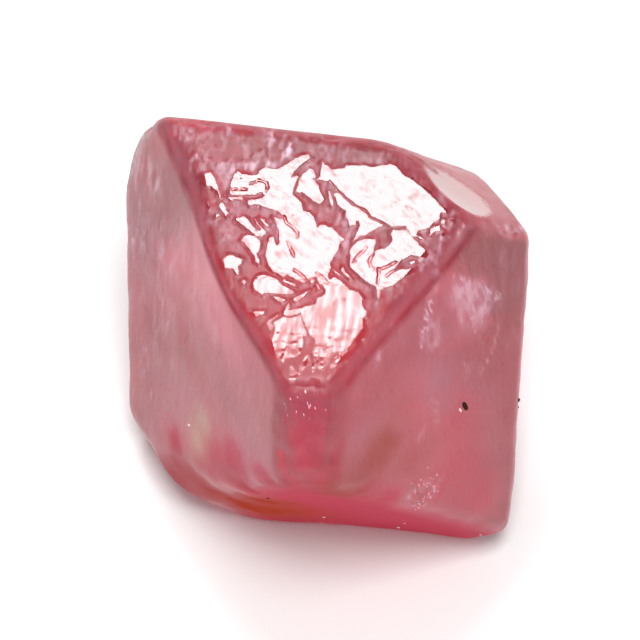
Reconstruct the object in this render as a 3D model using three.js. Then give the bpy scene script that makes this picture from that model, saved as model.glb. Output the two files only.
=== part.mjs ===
// A natural spinel crystal: one malformed, waterworn octahedron lying on one of its eight faces.
// Millimetres, +Z up. The origin is the middle of the bounding box, on the surface it rests on.
//
// The crystal is worked out around its own centre, in a levelled frame: the top face lies level,
// x runs along its back edge and y towards the back. A face is a plane at a stated distance from
// the centre, the edges between the faces are rounded by wear, and the skin is a mesh whose nodes
// follow the cubic lattice, so that its triangles run along the octahedron's edges.
import * as THREE from 'three';
import { ImprovedNoise } from 'three/addons/math/ImprovedNoise.js';

// ---- Driving dimensions, in mm ----

// Cubic axes of the crystal in the levelled frame: A to the right back, B to the left back, C to
// the front.
const AXIS_A = new THREE.Vector3(1 / Math.sqrt(2), 1 / Math.sqrt(6), 1 / Math.sqrt(3));
const AXIS_B = new THREE.Vector3(-1 / Math.sqrt(2), 1 / Math.sqrt(6), 1 / Math.sqrt(3));
const AXIS_C = new THREE.Vector3(0, -2 / Math.sqrt(6), 1 / Math.sqrt(3));

// The octahedron's faces: the corner of the cube each looks to, its outward direction along the
// cubic axes (a natural face can lean a few degrees), and its distance from the centre.
const OCTAHEDRON_FACES = [
  { name: 'top', corner: [1, 1, 1], direction: [1, 1, 1], distance: 4.04 },
  { name: 'left', corner: [-1, 1, 1], direction: [-0.6, 0.557, 0.575], distance: 2.91 },
  { name: 'right', corner: [1, -1, 1], direction: [0.581, -0.591, 0.56], distance: 3.69 },
  { name: 'front', corner: [-1, -1, 1], direction: [-0.577, -0.572, 0.583], distance: 3.67 },
  { name: 'back', corner: [1, 1, -1], direction: [0.587, 0.567, -0.579], distance: 3.1 },
  { name: 'backRight', corner: [1, -1, -1], direction: [0.567, -0.588, -0.577], distance: 2.98 },
  { name: 'backLeft', corner: [-1, 1, -1], direction: [-0.581, 0.574, -0.578], distance: 3.75 },
  { name: 'base', corner: [-1, -1, -1], direction: [-1, -1, -1], distance: 3.82 },
];

// Corners of the octahedron that wear has cut to small flats, square to the cubic axes or nearly.
const WORN_CORNERS = [
  { direction: [1, 0, 0], distance: 4.76 },
  { direction: [-0.315, 0.931, -0.184], distance: 4.76 },
  { direction: [0, 0, 1], distance: 5.09 },
  { direction: [-0.987, -0.13, 0.094], distance: 4.7 },
  { direction: [0.043, -0.999, -0.01], distance: 5.47 },
  { direction: [0, 0, -1], distance: 4.8 },
  { direction: [0.945, 0.226, -0.236], distance: 4.08 },
  { direction: [-0.798, -0.148, 0.584], distance: 3.8 },
];

const EDGE_WEAR = 0.33; // roundness of the edges
const EDGE_WEAR_SWING = 0.07; // how far it changes from place to place
const EDGE_WEAR_PATCH = 1.1; // size of those places
const NICK_DEPTH = 0.4; // nicks along the edges, before the edge's own flatness scales them
const NICK_PATCH = 0.6;
const FACE_WAVE = 0.02; // slow unevenness of the faces other than the top and the base
const FACE_WAVE_PATCH = 1.6;
const NICK_SHIFT = 7; // nicks and waves are read from the noise this far away from the edge wear
const FACE_WAVE_SHIFT = 3;

// A shell-shaped chip on the top face's right back corner: a ball that takes away what it covers.
const CHIP = { centre: [4.33, 3.1, 5.76], radius: 3.47, lipWear: 0.08 };

// The top face: flat plates of the original growth face stand above dull, etched channels.
const CHANNEL_DEPTH = 0.06;
const CHANNEL_LUMPS = 0.022;
const CHANNEL_LUMP_PATCH = 0.24;
const PLATE_BEVEL = 0.07;

// Outlines of the plates on the top face, x and y from the crystal's centre.
const PLATES = {
  eastern: [
    [0.26, 1.09], [0.61, 1.17], [1.35, 1.29], [1.81, 1.07], [2.39, 0.6], [2.55, 0.47], [2.24, 0.01],
    [2.04, -0.12], [1.78, -0.02], [1.49, 0.01], [1.17, 0.16], [0.76, 0.42], [0.46, 0.68],
  ],
  easternLedge: [
    [0.31, 0.64], [0.58, 0.48], [0.93, 0.27], [1.22, 0.09], [1.45, -0.04], [1.18, -0.13],
    [0.9, -0.4], [0.97, 0.01], [0.72, 0.18],
  ],
  middle: [
    [-1.29, 0.76], [-1.0, 0.93], [-0.68, 0.96], [-0.2, 1.31], [-0.42, 0.97], [-0.43, 0.67],
    [-0.14, 0.25], [0.08, 0.08], [0.21, -0.18], [0.43, -0.15], [0.73, -0.37], [0.62, -0.66],
    [0.54, -1.24], [0.38, -1.3], [-0.25, -1.24], [-0.55, -1.09], [-0.69, -0.81], [-0.66, -0.51],
    [-0.5, -0.32], [-0.44, -0.1], [-0.7, 0.1], [-1.19, 0.2], [-0.93, 0.4], [-0.9, 0.66],
  ],
  northWestern: [[-1.47, 0.83], [-1.24, 0.79], [-1.17, 0.67], [-1.36, 0.46], [-1.56, 0.41]],
  western: [[-2.15, 0.65], [-1.96, 0.75], [-1.85, 0.57], [-1.75, 0.39], [-2.08, 0.48]],
  westernChip: [[-1.71, 0.14], [-1.61, 0.13], [-1.51, -0.05], [-1.53, -0.14], [-1.66, -0.05]],
  bean: [[-1.35, -0.18], [-1.09, -0.17], [-0.72, -0.37], [-0.76, -0.48], [-0.95, -0.48], [-1.19, -0.27]],
  fin: [[-1.16, -0.56], [-1.06, -0.47], [-0.83, -0.55], [-0.81, -1.01], [-0.96, -0.77]],
  tooth: [[-1.49, -0.98], [-1.29, -0.94], [-1.09, -1.02], [-1.13, -1.22], [-1.34, -1.2]],
  bar: [[-0.83, -1.46], [-0.65, -1.29], [-0.36, -1.38], [0, -1.63], [-0.54, -1.67], [-0.77, -1.62]],
  sliver: [[-0.88, -2.0], [-0.47, -2.02], [-0.61, -2.16], [-0.78, -2.16]],
  southWestern: [
    [-0.07, -1.83], [0.15, -1.91], [0.22, -2.21], [0.31, -2.74], [0.23, -2.9], [0, -2.99],
    [-0.22, -2.76], [-0.31, -2.56], [-0.28, -2.23],
  ],
  southern: [
    [0.61, -1.23], [0.78, -1.25], [1.16, -1.42], [1.37, -1.83], [1.38, -2.39], [0.93, -2.86],
    [0.77, -3.02], [0.47, -2.52], [0.2, -1.97], [0.37, -1.78], [0.54, -1.49],
  ],
  tip: [[0.11, -3.32], [0.26, -3.12], [0.39, -2.98], [0.55, -3.07], [0.37, -3.23]],
  centralRight: [[0.89, -0.59], [1.06, -0.38], [1.3, -0.33], [1.29, -0.65], [1.45, -1.24], [0.96, -0.94]],
  farRight: [
    [1.39, -0.55], [1.64, -0.33], [1.83, -0.14], [2.31, -0.49], [1.79, -0.78], [2.12, -0.87],
    [1.59, -1.33], [1.35, -0.79],
  ],
  splinters: [
    [-0.32, 0.55], [-0.13, 1.07], [0.06, 1.17], [0.27, 0.92], [0.06, 0.66], [0.22, 0.38], [-0.06, 0.45],
  ],
  crumb: [[2.28, 0.01], [2.47, 0.1], [2.47, -0.03], [2.32, -0.11]],
};

// Shallow triangular etch pits on the faces that look away, their corners turned against the
// face's own corners: a point in the pit, the distance from it to each side, and the depth.
const ETCH_PITS = {
  back: [
    { at: [-1.2, 2.6, 1.9], reach: 0.34, depth: 0.06 },
    { at: [0.9, 3.1, 0.5], reach: 0.22, depth: 0.05 },
    { at: [-0.3, 3.3, 0.1], reach: 0.15, depth: 0.04 },
  ],
  backRight: [
    { at: [3.2, 0.6, -0.2], reach: 0.28, depth: 0.06 },
    { at: [2.7, 0.9, -1.4], reach: 0.17, depth: 0.04 },
  ],
  backLeft: [
    { at: [-3.4, 1.5, -0.6], reach: 0.3, depth: 0.06 },
    { at: [-3.1, 1.1, -1.9], reach: 0.18, depth: 0.04 },
    { at: [-3.6, 1.7, 0.4], reach: 0.16, depth: 0.05 },
  ],
};

// ---- Mesh fineness ----
const LATTICE_STEP = 0.213; // distance between mesh nodes along a cubic axis
const SEARCH_RADIUS = 8; // outside the crystal in every direction
const SEARCH_STEPS = 26;

const lattice = new THREE.Matrix4().makeBasis(AXIS_A, AXIS_B, AXIS_C);
const noise = new ImprovedNoise();

// ---- Shape ----

// Smooth noise from -1 to 1, in patches of a given size.
function grain(point, patch, shift = 0) {
  return noise.noise(point.x / patch + shift, point.y / patch + shift, point.z / patch + shift);
}

// Distance from a point of a plane to an outline in it, negative inside the outline.
function distanceToOutline(x, y, outline) {
  let nearest = Infinity;
  let inside = false;
  outline.forEach(([x2, y2], index) => {
    const [x1, y1] = outline[(index + outline.length - 1) % outline.length];
    const along = ((x - x1) * (x2 - x1) + (y - y1) * (y2 - y1)) / ((x2 - x1) ** 2 + (y2 - y1) ** 2);
    const foot = THREE.MathUtils.clamp(along, 0, 1);
    nearest = Math.min(nearest, Math.hypot(x - x1 - foot * (x2 - x1), y - y1 - foot * (y2 - y1)));
    const crosses = y1 > y !== y2 > y && x < x1 + ((y - y1) / (y2 - y1)) * (x2 - x1);
    inside = inside !== crosses;
  });
  return inside ? -nearest : nearest;
}

// How deep the top face lies below its growth plane: nothing on the plates, lumpy in the channels.
function channelRelief(point) {
  let gap = Infinity;
  for (const outline of Object.values(PLATES)) {
    gap = Math.min(gap, distanceToOutline(point.x, point.y, outline));
  }
  const openness = THREE.MathUtils.smoothstep(gap, 0, PLATE_BEVEL);
  return openness * (CHANNEL_DEPTH + CHANNEL_LUMPS * grain(point, CHANNEL_LUMP_PATCH));
}

// Slow waves and triangular etch pits of the other faces.
function etchedRelief(normal, pits) {
  const sides = [AXIS_A, AXIS_B, AXIS_C].map((axis) => {
    const side = axis.clone().projectOnPlane(normal).normalize();
    return axis.dot(normal) > 0 ? side : side.negate();
  });
  const offset = new THREE.Vector3();
  return (point) => {
    let depth = FACE_WAVE * grain(point, FACE_WAVE_PATCH, FACE_WAVE_SHIFT);
    for (const pit of pits) {
      offset.copy(point).sub(pit.centre);
      const inwards = pit.reach - Math.max(...sides.map((side) => side.dot(offset)));
      depth += THREE.MathUtils.clamp(inwards, 0, pit.depth);
    }
    return depth;
  };
}

function reliefOf(name, normal) {
  if (name === 'top') return channelRelief;
  if (name === 'base') return () => 0;
  const pits = (ETCH_PITS[name] ?? []).map((pit) => ({ ...pit, centre: new THREE.Vector3(...pit.at) }));
  return etchedRelief(normal, pits);
}

function makePlane({ name, direction, distance }) {
  const normal = new THREE.Vector3(...direction).normalize().applyMatrix4(lattice);
  return { normal, distance, relief: reliefOf(name, normal) };
}

const planes = [...OCTAHEDRON_FACES, ...WORN_CORNERS].map(makePlane);
const chipCentre = new THREE.Vector3(...CHIP.centre);

// Negative inside the crystal, positive outside, zero on its skin.
function outsideness(point) {
  const wear = EDGE_WEAR + EDGE_WEAR_SWING * grain(point, EDGE_WEAR_PATCH);
  let squares = 0;
  let furthest = 0;
  for (const plane of planes) {
    const roughOver = plane.normal.dot(point) - plane.distance + wear;
    if (roughOver < -EDGE_WEAR) continue;
    const over = roughOver + plane.relief(point);
    if (over <= 0) continue;
    squares += over * over;
    furthest = Math.max(furthest, over);
  }
  const reach = Math.sqrt(squares);
  const edginess = reach > 0 ? 1 - furthest / reach : 0;
  const nick = NICK_DEPTH * edginess * Math.max(0, grain(point, NICK_PATCH, NICK_SHIFT));
  const body = reach - wear + nick;
  const chip = CHIP.radius - point.distanceTo(chipCentre);
  const blend = Math.max(0, CHIP.lipWear - Math.abs(body - chip));
  return Math.max(body, chip) + (blend * blend) / (4 * CHIP.lipWear);
}

// The point of the skin in a given direction from the centre.
function skinPoint(direction) {
  let inner = 0;
  let outer = SEARCH_RADIUS;
  const point = new THREE.Vector3();
  for (let step = 0; step < SEARCH_STEPS; step += 1) {
    const middle = (inner + outer) / 2;
    point.copy(direction).multiplyScalar(middle);
    if (outsideness(point) < 0) inner = middle;
    else outer = middle;
  }
  return point;
}

// ---- Mesh ----

// Whole, odd layer counts put every face on the lattice, so that neighbouring faces share nodes.
function oddLayers(distance) {
  return 2 * Math.round(((Math.sqrt(3) * distance) / LATTICE_STEP - 1) / 2) + 1;
}

// The triangles of one face as triples of lattice nodes, anticlockwise seen from outside.
function faceTriangles(face, faces) {
  const [signI, signJ, signK] = face.corner;
  const inBody = (node) => faces.every(({ corner, layers }) =>
    corner[0] * node[0] + corner[1] * node[1] + corner[2] * node[2] <= layers);
  const nodeAt = (i, j) => [signI * i, signJ * j, signK * (face.layers - i - j)];
  const mirrored = signI * signJ * signK < 0;
  const span = 2 * face.layers;
  const triangles = [];
  for (let i = -span; i < span; i += 1) {
    for (let j = -span; j < span; j += 1) {
      const upright = [nodeAt(i, j), nodeAt(i + 1, j), nodeAt(i, j + 1)];
      const inverted = [nodeAt(i + 1, j), nodeAt(i + 1, j + 1), nodeAt(i, j + 1)];
      for (const triangle of [upright, inverted]) {
        if (triangle.every(inBody)) triangles.push(mirrored ? triangle.reverse() : triangle);
      }
    }
  }
  return triangles;
}

const halfway = (p, q) => p.map((value, axis) => (value + q[axis]) / 2);
const edgeKey = (p, q) => halfway(p, q).join();

// Splits each triangle at the edges that are marked: into four, three, two or not at all.
function splitMarked(triangles, marked) {
  return triangles.flatMap((triangle) => {
    const isCut = triangle.map((node, index) => marked.has(edgeKey(node, triangle[(index + 1) % 3])));
    const cuts = isCut.filter(Boolean).length;
    if (cuts === 0) return [triangle];
    // Turned so that the first edge is cut, and with two cuts the last edge is whole.
    const start = cuts === 2 ? (isCut.indexOf(false) + 1) % 3 : isCut.indexOf(true);
    const [p, q, r] = [0, 1, 2].map((index) => triangle[(start + index) % 3]);
    const [pq, qr, rp] = [halfway(p, q), halfway(q, r), halfway(r, p)];
    if (cuts === 1) return [[p, pq, r], [pq, q, r]];
    if (cuts === 2) return [[pq, q, qr], [p, pq, qr], [p, qr, r]];
    return [[p, pq, rp], [pq, q, qr], [rp, qr, r], [pq, qr, rp]];
  });
}

// The octahedron's lattice mesh, twice as fine on the top face.
function latticeTriangles() {
  const faces = OCTAHEDRON_FACES.map((face) => ({ ...face, layers: oddLayers(face.distance) }));
  const perFace = faces.map((face) => faceTriangles(face, faces));
  const topEdges = new Set();
  for (const triangle of perFace[0]) {
    triangle.forEach((node, index) => topEdges.add(edgeKey(node, triangle[(index + 1) % 3])));
  }
  return splitMarked(perFace.flat(), topEdges);
}

function crystalGeometry() {
  const positions = [];
  const indices = [];
  const known = new Map();
  for (const node of latticeTriangles().flat()) {
    const key = node.join();
    if (!known.has(key)) {
      const direction = new THREE.Vector3(...node).applyMatrix4(lattice).normalize();
      known.set(key, positions.length / 3);
      positions.push(...skinPoint(direction).toArray());
    }
    indices.push(known.get(key));
  }
  const geometry = new THREE.BufferGeometry();
  geometry.setAttribute('position', new THREE.Float32BufferAttribute(positions, 3));
  geometry.setIndex(indices);
  return geometry;
}

// Moves the crystal so that its bounding box stands centred on the origin.
function standOnOrigin(geometry) {
  geometry.computeBoundingBox();
  const { min, max } = geometry.boundingBox;
  geometry.translate(-(min.x + max.x) / 2, -(min.y + max.y) / 2, -min.z);
  geometry.computeVertexNormals();
  return geometry;
}

const spinel = new THREE.MeshStandardMaterial({
  color: new THREE.Color(0.76, 0.36, 0.44),
  roughness: 0.25,
  metalness: 0,
  transparent: true,
  opacity: 0.75,
});

const crystal = new THREE.Mesh(standOnOrigin(crystalGeometry()), spinel);
crystal.name = 'spinel_crystal';

const part = new THREE.Group();
part.add(crystal);

export default part;
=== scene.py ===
"""A natural pink spinel octahedron on a pale studio floor, in metres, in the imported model's frame.

The crystal is worked out in a levelled frame in millimetres: the origin is its centre, the top face
lies level, x runs along that face's back edge and y towards the back.
"""
import math

import bpy
import numpy as np
from mathutils import Matrix, Vector


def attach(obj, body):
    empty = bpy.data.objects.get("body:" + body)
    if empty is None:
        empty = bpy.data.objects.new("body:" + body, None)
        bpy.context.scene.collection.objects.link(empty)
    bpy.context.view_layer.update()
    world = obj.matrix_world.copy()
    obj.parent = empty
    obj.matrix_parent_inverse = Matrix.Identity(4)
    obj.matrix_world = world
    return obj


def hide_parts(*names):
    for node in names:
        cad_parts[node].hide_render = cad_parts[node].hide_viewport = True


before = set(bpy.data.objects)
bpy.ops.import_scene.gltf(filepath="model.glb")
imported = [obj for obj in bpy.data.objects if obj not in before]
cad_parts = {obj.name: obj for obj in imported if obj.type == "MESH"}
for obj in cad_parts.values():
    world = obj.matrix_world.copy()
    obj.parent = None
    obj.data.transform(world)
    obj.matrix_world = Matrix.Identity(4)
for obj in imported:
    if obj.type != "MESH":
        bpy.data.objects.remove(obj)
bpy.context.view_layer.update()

# ---------------- shape, in mm

# Rows: the cubic axes of the crystal, to the right back, to the left back and to the front.
CUBIC_AXES = np.array([
    [1 / math.sqrt(2), 1 / math.sqrt(6), 1 / math.sqrt(3)],
    [-1 / math.sqrt(2), 1 / math.sqrt(6), 1 / math.sqrt(3)],
    [0, -2 / math.sqrt(6), 1 / math.sqrt(3)],
])

# Each face: the corner of the cube it looks to, its outward direction along the cubic axes, and its
# distance from the centre.
FACES = {
    "top": ((1, 1, 1), (1, 1, 1), 4.04),
    "left": ((-1, 1, 1), (-0.6, 0.557, 0.575), 2.91),
    "right": ((1, -1, 1), (0.581, -0.591, 0.56), 3.69),
    "front": ((-1, -1, 1), (-0.577, -0.572, 0.583), 3.67),
    "back": ((1, 1, -1), (0.587, 0.567, -0.579), 3.1),
    "back_right": ((1, -1, -1), (0.567, -0.588, -0.577), 2.98),
    "back_left": ((-1, 1, -1), (-0.581, 0.574, -0.578), 3.75),
    "base": ((-1, -1, -1), (-1, -1, -1), 3.82),
}

# Corners that wear has cut to small flats: direction along the cubic axes, and distance.
WORN_CORNERS = {
    "right_back": ((1, 0, 0), 4.76),
    "left_back": ((-0.315, 0.931, -0.184), 4.76),
    "nose": ((0, 0, 1), 5.09),
    "low_left": ((-0.987, -0.13, 0.094), 4.7),
    "low_right": ((0.043, -0.999, -0.01), 5.47),
    "low_back": ((0, 0, -1), 4.8),
    "chipped": ((0.945, 0.226, -0.236), 4.08),
    "low_front_left": ((-0.798, -0.148, 0.584), 3.8),
}

# Wherever waves are listed, each row is a height, the size of the patches and a shift of the noise.
EDGE_WEAR = 0.33  # roundness of the edges
EDGE_WEAR_WAVES = [(0.07, 1.1, 0.0)]
NICK_DEPTH = 0.4  # nicks along the edges
NICKS = [(1.0, 0.6, 7), (0.35, 0.21, 4)]
NICK_LIMIT = 0.8  # of the edge's own wear
FACE_WAVES = [(0.02, 1.6, 3)]

# The shell-shaped chip on the top face's right back corner.
CHIP_CENTRE, CHIP_RADIUS, CHIP_LIP_WEAR = (4.33, 3.1, 5.76), 3.47, 0.05
CHIP_BLUR = 0.04

# The crystal's centre in the row frame.
CENTRE = np.array([0.01, 0.25, 3.82])

# Outlines in the top face, x and y from the crystal's centre. Glossy plates of the old growth face.
PLATES = {
    "eastern": [
        (-0.01, 0.78), (0.08, 0.87), (0.08, 1.07), (0.08, 1.21), (0.14, 1.16), (0.22, 1.12),
        (0.27, 1.07), (0.49, 1.11), (0.54, 1.17), (0.85, 1.22), (1.04, 1.2), (1.16, 1.25),
        (1.33, 1.3), (1.48, 1.28), (1.56, 1.21), (1.6, 1.12), (1.72, 1.05), (1.81, 1.07),
        (1.89, 0.95), (2.15, 0.83), (2.26, 0.71), (2.39, 0.58), (2.57, 0.45), (2.53, 0.38),
        (2.43, 0.38), (2.44, 0.24), (2.33, 0.17), (2.27, 0.05), (2.15, -0.02), (2.07, -0.03),
        (2.03, -0.18), (1.95, -0.15), (1.83, 0.03), (1.59, -0.02), (1.49, 0.01), (1.26, 0.11),
        (1.18, 0.12), (1.04, 0.28), (0.8, 0.37), (0.57, 0.54), (0.36, 0.69), (0.29, 0.79),
        (0.13, 0.82),
    ],
    "ledge": [
        (0.4, 0.57), (0.49, 0.6), (0.7, 0.41), (1.05, 0.24), (1.22, 0.09), (1.48, 0.0),
        (1.35, -0.05), (1.19, -0.18), (1.12, -0.25), (1.03, -0.28), (0.93, -0.38), (0.9, -0.39),
        (0.95, -0.14), (0.97, 0.01), (0.91, 0.06), (0.91, -0.06), (0.79, -0.1), (0.75, 0.0),
        (0.66, 0.13), (0.68, 0.22), (0.5, 0.32), (0.44, 0.47),
    ],
    "ledge_strip": [
        (0.27, 0.62), (0.31, 0.62), (0.42, 0.36), (0.41, 0.29), (0.37, 0.31), (0.32, 0.47),
    ],
    "middle": [
        (-1.55, 0.36), (-1.55, 0.6), (-1.53, 0.72), (-1.47, 0.83), (-1.26, 0.77), (-1.09, 0.8),
        (-1.04, 0.9), (-0.95, 0.98), (-0.85, 0.95), (-0.71, 0.97), (-0.62, 1.04), (-0.44, 1.22),
        (-0.32, 1.3), (-0.2, 1.34), (-0.14, 1.27), (-0.32, 1.08), (-0.41, 0.95), (-0.46, 0.79),
        (-0.35, 0.86), (-0.3, 0.83), (-0.35, 0.7), (-0.37, 0.45), (-0.16, 0.29), (-0.12, 0.14),
        (-0.01, 0.11), (0.09, 0.05), (0.2, -0.21), (0.23, -0.13), (0.32, -0.11), (0.47, -0.16),
        (0.73, -0.37), (0.66, -0.46), (0.65, -0.61), (0.54, -0.9), (0.58, -1.0), (0.54, -1.15),
        (0.6, -1.25), (0.66, -1.17), (0.78, -1.23), (0.99, -1.42), (1.14, -1.43), (1.26, -1.57),
        (1.26, -1.72), (1.36, -1.81), (1.37, -1.9), (1.31, -1.99), (1.36, -2.17), (1.39, -2.33),
        (1.33, -2.42), (1.1, -2.65), (0.85, -2.95), (0.74, -3.11), (0.63, -3.1), (0.5, -2.76),
        (0.52, -2.51), (0.44, -2.46), (0.3, -2.29), (0.17, -2.01), (0.13, -1.91), (0.2, -1.86),
        (0.41, -1.77), (0.4, -1.67), (0.55, -1.55), (0.55, -1.47), (0.37, -1.28), (0.33, -1.21),
        (0.19, -1.28), (0.13, -1.37), (-0.15, -1.27), (-0.22, -1.21), (-0.26, -1.29),
        (-0.48, -1.18), (-0.59, -1.07), (-0.68, -0.87), (-0.67, -0.59), (-0.65, -0.49),
        (-0.58, -0.46), (-0.49, -0.68), (-0.46, -0.57), (-0.5, -0.32), (-0.66, -0.04),
        (-0.54, -0.08), (-0.45, -0.06), (-0.58, 0.07), (-0.84, 0.13), (-0.96, 0.17), (-1.12, 0.14),
        (-1.16, 0.17), (-1.17, 0.24), (-0.92, 0.31), (-0.86, 0.37), (-0.94, 0.44), (-1.06, 0.37),
        (-1.23, 0.34), (-1.51, 0.32),
    ],
    "ridge": [
        (1.34, -2.43), (1.36, -2.5), (1.16, -2.81), (0.9, -3.05), (0.86, -2.99), (1.1, -2.66),
    ],
    "right_pair": [
        (0.87, -0.59), (0.93, -0.46), (1.02, -0.36), (1.15, -0.31), (1.3, -0.31), (1.33, -0.37),
        (1.31, -0.62), (1.38, -0.51), (1.49, -0.49), (1.59, -0.4), (1.62, -0.29), (1.57, -0.15),
        (1.6, -0.09), (1.84, -0.04), (2.04, -0.25), (2.21, -0.4), (2.33, -0.49), (2.29, -0.6),
        (2.01, -0.57), (1.84, -0.69), (1.75, -0.86), (1.86, -0.88), (2.12, -0.83), (2.12, -0.9),
        (1.96, -1.03), (1.75, -1.25), (1.63, -1.29), (1.56, -1.35), (1.57, -1.52), (1.54, -1.56),
        (1.45, -1.3), (1.26, -1.21), (1.03, -1.02), (0.93, -0.94),
    ],
    "splinters": [
        (-0.33, 0.51), (-0.29, 0.71), (-0.26, 0.9), (-0.18, 0.95), (-0.14, 1.05), (-0.05, 1.02),
        (0.01, 0.9), (-0.04, 0.81), (0.08, 0.71), (0.14, 0.55), (0.23, 0.45), (0.19, 0.31),
        (0.07, 0.34), (-0.2, 0.52),
    ],
    "bean": [
        (-1.35, -0.2), (-1.32, -0.14), (-1.21, -0.11), (-1.12, -0.16), (-0.93, -0.36),
        (-0.87, -0.38), (-0.79, -0.32), (-0.73, -0.41), (-0.79, -0.49), (-0.91, -0.48),
        (-1.18, -0.3),
    ],
    "feather_near": [
        (-0.99, -0.14), (-0.92, -0.21), (-0.75, -0.37), (-0.79, -0.37), (-0.89, -0.28),
    ],
    "feather_far": [(-0.9, -0.1), (-0.81, -0.14), (-0.7, -0.25), (-0.71, -0.29), (-0.82, -0.2)],
    "fin": [
        (-1.17, -0.61), (-1.14, -0.53), (-1.06, -0.48), (-0.97, -0.48), (-0.86, -0.53),
        (-0.8, -0.62), (-0.81, -0.82), (-0.85, -0.85), (-0.75, -1.02), (-0.77, -1.06),
        (-0.83, -1.03), (-0.88, -0.9), (-1.05, -0.71),
    ],
    "tooth": [
        (-1.49, -1.0), (-1.44, -0.95), (-1.28, -0.93), (-1.09, -1.0), (-1.1, -1.08), (-1.14, -1.15),
        (-1.1, -1.29), (-1.13, -1.31), (-1.25, -1.12), (-1.26, -1.21), (-1.33, -1.24),
    ],
    "dash": [(-1.77, -0.72), (-1.72, -0.73), (-1.59, -0.87), (-1.59, -0.92), (-1.66, -0.89)],
    "western": [
        (-2.16, 0.63), (-2.12, 0.69), (-1.97, 0.75), (-1.91, 0.69), (-1.78, 0.48), (-1.66, 0.22),
        (-1.7, 0.22), (-1.79, 0.39), (-1.91, 0.46), (-2.02, 0.45), (-2.13, 0.53),
    ],
    "western_dash": [(-1.95, 0.12), (-1.92, 0.12), (-1.84, 0.02), (-1.86, -0.03)],
    "western_chip": [
        (-1.71, 0.1), (-1.65, 0.14), (-1.58, 0.09), (-1.57, 0.01), (-1.49, -0.06), (-1.51, -0.14),
        (-1.66, -0.01),
    ],
    "western_dot": [(-1.72, -0.13), (-1.68, -0.1), (-1.64, -0.14), (-1.69, -0.18)],
    "shards": [
        (-1.55, 0.25), (-1.41, 0.29), (-1.3, 0.31), (-1.25, 0.22), (-1.4, 0.23), (-1.51, 0.19),
    ],
    "bar": [
        (-0.82, -1.47), (-0.73, -1.3), (-0.64, -1.28), (-0.37, -1.34), (-0.32, -1.42),
        (-0.07, -1.54), (-0.02, -1.57), (-0.06, -1.62), (-0.28, -1.64), (-0.58, -1.65),
        (-0.59, -1.7), (-0.65, -1.67), (-0.75, -1.62),
    ],
    "bar_tail": [(-0.4, -1.72), (-0.31, -1.7), (-0.19, -1.74), (-0.18, -1.8), (-0.24, -1.82)],
    "bar_strip": [
        (-0.04, -1.74), (0.02, -1.67), (0.17, -1.55), (0.26, -1.51), (0.18, -1.63), (0.07, -1.75),
        (0.01, -1.77),
    ],
    "edge_strip": [(-0.27, -1.33), (-0.14, -1.37), (-0.01, -1.41), (-0.03, -1.47), (-0.25, -1.38)],
    "dot": [(-1.01, -1.45), (-0.97, -1.41), (-0.93, -1.47), (-0.96, -1.51)],
    "sliver": [
        (-0.89, -2.01), (-0.73, -2.03), (-0.51, -2.03), (-0.53, -2.11), (-0.71, -2.15),
        (-0.76, -2.18),
    ],
    "south_western": [
        (-0.31, -2.25), (-0.24, -2.18), (-0.14, -2.11), (0.0, -2.12), (0.15, -2.04), (0.21, -2.17),
        (0.33, -2.41), (0.31, -2.47), (0.25, -2.44), (0.28, -2.54), (0.29, -2.68), (0.27, -2.81),
        (0.21, -2.9), (0.0, -2.97), (-0.01, -3.02), (-0.13, -2.9), (-0.21, -2.84), (-0.3, -2.61),
        (-0.24, -2.41), (-0.27, -2.31),
    ],
    "south_western_cap": [
        (-0.16, -2.01), (-0.13, -1.9), (-0.09, -1.81), (-0.06, -1.84), (-0.08, -1.96),
        (0.15, -1.89), (0.17, -1.97), (0.01, -2.07), (-0.14, -2.07),
    ],
    "south_western_hook": [
        (-0.44, -2.27), (-0.4, -2.2), (-0.25, -2.08), (-0.36, -2.24), (-0.31, -2.32),
        (-0.35, -2.39),
    ],
    "tip": [
        (0.13, -3.09), (0.18, -3.11), (0.25, -3.18), (0.34, -3.01), (0.37, -2.86), (0.44, -2.85),
        (0.48, -2.97), (0.33, -3.22), (0.25, -3.31), (0.13, -3.34),
    ],
    "tip_crumb": [(0.49, -3.03), (0.56, -2.98), (0.61, -3.08), (0.56, -3.17)],
    "crumb_a": [(2.46, 0.18), (2.49, 0.25), (2.55, 0.23), (2.54, 0.15), (2.49, 0.14)],
    "crumb_b": [(2.62, 0.26), (2.69, 0.29), (2.71, 0.25), (2.66, 0.22)],
    "crumb_c": [
        (2.28, 0.01), (2.33, 0.06), (2.45, 0.12), (2.49, 0.02), (2.35, -0.06), (2.3, -0.13),
    ],
    "crumb_d": [(2.5, -0.07), (2.55, -0.02), (2.58, -0.06), (2.54, -0.11)],
    "crumb_e": [(2.04, -0.16), (2.12, -0.15), (2.2, -0.21), (2.15, -0.23)],
    "crumb_f": [(1.99, -0.72), (2.08, -0.67), (2.11, -0.7), (2.04, -0.77)],
    "thin_a": [(0.77, -1.02), (0.79, -0.94), (0.84, -1.03), (0.97, -1.17), (0.85, -1.12)],
    "thin_b": [(0.63, -1.02), (0.7, -1.07), (0.78, -1.15), (0.66, -1.08)],
    "crumb_g": [(0.35, -1.36), (0.4, -1.35), (0.45, -1.46), (0.4, -1.48)],
    "crumb_h": [(0.23, -1.29), (0.3, -1.26), (0.31, -1.33), (0.25, -1.35)],
}

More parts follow.
